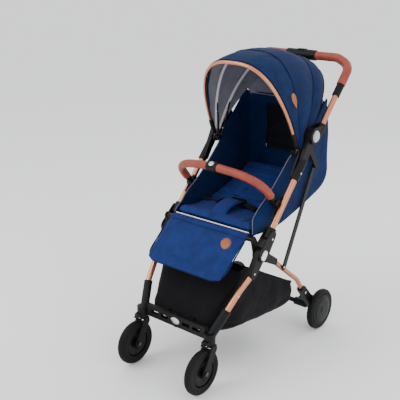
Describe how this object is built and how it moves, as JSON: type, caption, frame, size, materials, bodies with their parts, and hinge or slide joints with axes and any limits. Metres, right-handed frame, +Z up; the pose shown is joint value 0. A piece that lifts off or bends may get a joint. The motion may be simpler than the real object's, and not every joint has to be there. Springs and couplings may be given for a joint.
{
  "type": "baby stroller",
  "caption": "Folding baby stroller with a reclining seat, folding canopy, bumper bar, footrest, storage basket, swivel front wheels and a pull-out trolley handle.",
  "frame": {"origin": "on the floor, under the middle of the stroller's overall box, unfolded on its four wheels", "axes": "+X towards the seated child's left, -Y forwards (the way the child faces), +Z up"},
  "size_m": [0.445, 0.846, 1.0432],
  "materials": {
    "copper_tube": "satin",
    "black_plastic": "matte",
    "silver_cap": "satin",
    "white_cap": "satin",
    "black_tube": "satin",
    "navy_fabric": "woven",
    "black_fabric": "woven",
    "strap_webbing": "woven",
    "brown_leather": "grained",
    "tyre": "matte",
    "hub_plastic": "satin",
    "trolley_metal": "satin"
  },
  "bodies": {
    "seat_frame": {"main_tube_l": "copper_tube", "main_tube_r": "copper_tube", "lower_housings": "black_plastic", "lower_caps": "white_cap", "upper_housings": "black_plastic", "seat_front_tube": "black_tube", "canopy_clips": "black_plastic", "bumper_sockets": "black_plastic", "seat_shell": "navy_fabric", "seat_cushion": "navy_fabric", "harness_straps": "strap_webbing", "harness_buckle": "black_plastic", "canopy_rear_bow": "black_tube", "canopy_rear_panel": "navy_fabric"},
    "handle": {"handle_tube": "copper_tube", "handle_joints": "black_plastic", "handle_caps": "silver_cap", "handle_collars": "black_plastic", "handle_grips": "brown_leather", "handle_block": "black_plastic"},
    "fold_button": {"fold_button": "black_plastic"},
    "front_legs": {"front_leg_tube_l": "copper_tube", "front_leg_tube_r": "copper_tube", "front_leg_joints": "black_plastic", "front_feet": "black_plastic", "cross_plate": "black_plastic", "trolley_sleeves": "trolley_metal", "basket": "black_fabric"},
    "trolley_mid": {"trolley_mid_tubes": "trolley_metal"},
    "trolley_top": {"trolley_rods": "trolley_metal", "trolley_grip": "black_plastic"},
    "caster_l": {"caster_fork_l": "black_plastic"},
    "caster_r": {"caster_fork_r": "black_plastic"},
    "front_wheel_l": {"front_tyre_l": "tyre", "front_hub_l": "hub_plastic"},
    "front_wheel_r": {"front_tyre_r": "tyre", "front_hub_r": "hub_plastic"},
    "caster_lock_l": {"caster_lock_l": "black_plastic"},
    "caster_lock_r": {"caster_lock_r": "black_plastic"},
    "rear_legs": {"rear_leg_tubes": "copper_tube", "rear_leg_joints": "black_plastic", "rear_brackets": "black_plastic", "rear_axle_tube": "black_tube"},
    "rear_wheel_l": {"rear_tyre_l": "tyre", "rear_hub_l": "hub_plastic"},
    "rear_wheel_r": {"rear_tyre_r": "tyre", "rear_hub_r": "hub_plastic"},
    "brake": {"brake_pedal": "black_plastic"},
    "struts": {"struts": "black_tube"},
    "bumper": {"bumper_tube": "black_tube", "bumper_grips": "brown_leather", "bumper_ring": "black_plastic", "bumper_ends": "black_plastic"},
    "canopy_mid": {"canopy_bow": "black_tube", "canopy_mid_panel": "navy_fabric"},
    "canopy_front": {"canopy_hoop": "copper_tube", "canopy_front_panel": "navy_fabric"},
    "backrest": {"backrest_pad": "navy_fabric", "shoulder_straps": "strap_webbing"},
    "footrest": {"footrest": "navy_fabric"}
  },
  "joints": [
    {"name": "leg_fold", "type": "hinge", "parent": "seat_frame", "child": "front_legs", "pos_m": [0, -0.11, 0.427], "axis": [1, 0, 0], "range_deg": [0, 130], "deforming": ["seat_shell", "seat_cushion", "harness_straps", "backrest_pad", "shoulder_straps", "basket", "canopy_rear_panel", "canopy_mid_panel", "canopy_front_panel"]},
    {"name": "rear_leg_fold", "type": "hinge", "parent": "seat_frame", "child": "rear_legs", "pos_m": [0, -0.057, 0.394], "axis": [1, 0, 0], "range_deg": [0, 75.36]},
    {"name": "strut_fold", "type": "hinge", "parent": "rear_legs", "child": "struts", "pos_m": [0, 0.052, 0.321], "axis": [-1, 0, 0], "range_deg": [0, 92.7]},
    {"name": "handle_fold", "type": "hinge", "parent": "seat_frame", "child": "handle", "pos_m": [0, 0.171, 0.768], "axis": [1, 0, 0], "range_deg": [0, 158.26]},
    {"name": "fold_button_press", "type": "slide", "parent": "handle", "child": "fold_button", "axis": [0, 0, -1], "range_m": [0, 0.003], "stiffness_N_per_m": 600},
    {"name": "trolley_mid_pull", "type": "slide", "parent": "front_legs", "child": "trolley_mid", "axis": [0, 0.6211, 0.7837], "range_m": [0, 0.225]},
    {"name": "trolley_top_pull", "type": "slide", "parent": "trolley_mid", "child": "trolley_top", "axis": [0, 0.6211, 0.7837], "range_m": [0, 0.225]},
    {"name": "caster_swivel_l", "type": "hinge", "parent": "front_legs", "child": "caster_l", "pos_m": [0.15, -0.305, 0.157], "axis": [0, 0, 1], "continuous": true},
    {"name": "front_wheel_spin_l", "type": "hinge", "parent": "caster_l", "child": "front_wheel_l", "pos_m": [0.15, -0.3455, 0.0775], "axis": [1, 0, 0], "continuous": true},
    {"name": "rear_wheel_spin_l", "type": "hinge", "parent": "rear_legs", "child": "rear_wheel_l", "pos_m": [0.204, 0.283, 0.0775], "axis": [1, 0, 0], "continuous": true},
    {"name": "caster_lock_press_l", "type": "hinge", "parent": "front_legs", "child": "caster_lock_l", "pos_m": [0.15, -0.327, 0.172], "axis": [1, 0, 0], "range_deg": [0, 18]},
    {"name": "caster_swivel_r", "type": "hinge", "parent": "front_legs", "child": "caster_r", "pos_m": [-0.15, -0.305, 0.157], "axis": [0, 0, 1], "continuous": true},
    {"name": "front_wheel_spin_r", "type": "hinge", "parent": "caster_r", "child": "front_wheel_r", "pos_m": [-0.15, -0.3455, 0.0775], "axis": [1, 0, 0], "continuous": true},
    {"name": "rear_wheel_spin_r", "type": "hinge", "parent": "rear_legs", "child": "rear_wheel_r", "pos_m": [-0.204, 0.283, 0.0775], "axis": [1, 0, 0], "continuous": true},
    {"name": "caster_lock_press_r", "type": "hinge", "parent": "front_legs", "child": "caster_lock_r", "pos_m": [-0.15, -0.327, 0.172], "axis": [1, 0, 0], "range_deg": [0, 18]},
    {"name": "brake_press", "type": "hinge", "parent": "rear_legs", "child": "brake", "pos_m": [0.121, 0.283, 0.0775], "axis": [-1, 0, 0], "range_deg": [0, 18]},
    {"name": "bumper_swing", "type": "hinge", "parent": "seat_frame", "child": "bumper", "pos_m": [0, -0.008, 0.572], "axis": [1, 0, 0], "range_deg": [0, 62]},
    {"name": "canopy_mid_fold", "type": "hinge", "parent": "seat_frame", "child": "canopy_mid", "pos_m": [0, 0.125, 0.713], "axis": [-1, 0, 0], "range_deg": [0, 24]},
    {"name": "canopy_front_fold", "type": "hinge", "parent": "canopy_mid", "child": "canopy_front", "pos_m": [0, 0.125, 0.713], "axis": [-1, 0, 0], "range_deg": [0, 17.14]},
    {"name": "recline", "type": "hinge", "parent": "seat_frame", "child": "backrest", "pos_m": [0, 0.056, 0.49], "axis": [-1, 0, 0], "range_deg": [-50, 0]},
    {"name": "footrest_lift", "type": "hinge", "parent": "seat_frame", "child": "footrest", "pos_m": [0, -0.132, 0.478], "axis": [-1, 0, 0], "range_deg": [-15, 40]}
  ],
  "couplings": [
    {"joint": "rear_leg_fold", "follows": "leg_fold", "ratio": 0.57971},
    {"joint": "strut_fold", "follows": "leg_fold", "ratio": 0.71304},
    {"joint": "handle_fold", "follows": "leg_fold", "ratio": 1.2174},
    {"joint": "trolley_top_pull", "follows": "trolley_mid_pull", "ratio": 1},
    {"joint": "canopy_front_fold", "follows": "canopy_mid_fold", "ratio": 0.71429}
  ]
}
